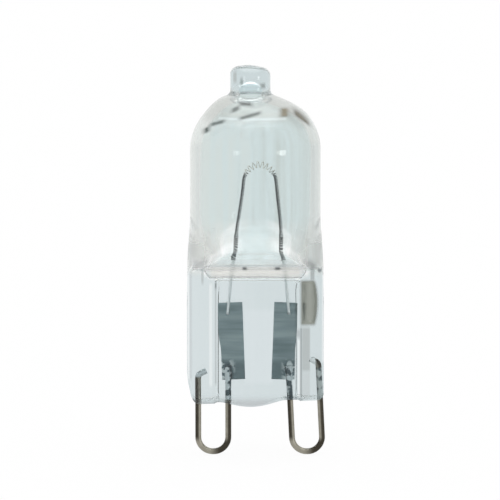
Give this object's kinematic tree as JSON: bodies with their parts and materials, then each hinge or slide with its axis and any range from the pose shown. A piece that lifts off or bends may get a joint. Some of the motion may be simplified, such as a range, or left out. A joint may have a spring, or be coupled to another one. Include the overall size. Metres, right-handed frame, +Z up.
{
  "type": "halogen bulb",
  "caption": "Clear quartz capsule bulb: round tube with a sealed tip on its dome, coil filament, flat press seal with foils inside, and bare wire loops as plug-in contacts.",
  "frame": {"origin": "on the bulb's axis, at the foot of the press seal, where the bulb stands against its holder", "axes": "+Z up the bulb's axis to the sealed tip, +X along the line through the contact loops to the loop that leans outwards, +Y to the back of the seal"},
  "size_m": [0.0138, 0.013, 0.039],
  "materials": {
    "quartz_glass": "clear fused quartz, fire polished, with moulded press seal",
    "tungsten_coil": "wound tungsten wire, dull dark grey",
    "lead_wire": "drawn molybdenum wire",
    "sealing_foil": "rolled molybdenum foil, creased at the welds",
    "contact_wire": "drawn wire, dull with a dark oxide film"
  },
  "bodies": {
    "root": {"quartz_envelope": "quartz_glass", "filament": "tungsten_coil", "inner_lead_left": "lead_wire", "inner_lead_right": "lead_wire", "foil_left": "sealing_foil", "foil_right": "sealing_foil", "contact_loop_left": "contact_wire", "contact_loop_right": "contact_wire"}
  },
  "joints": []
}
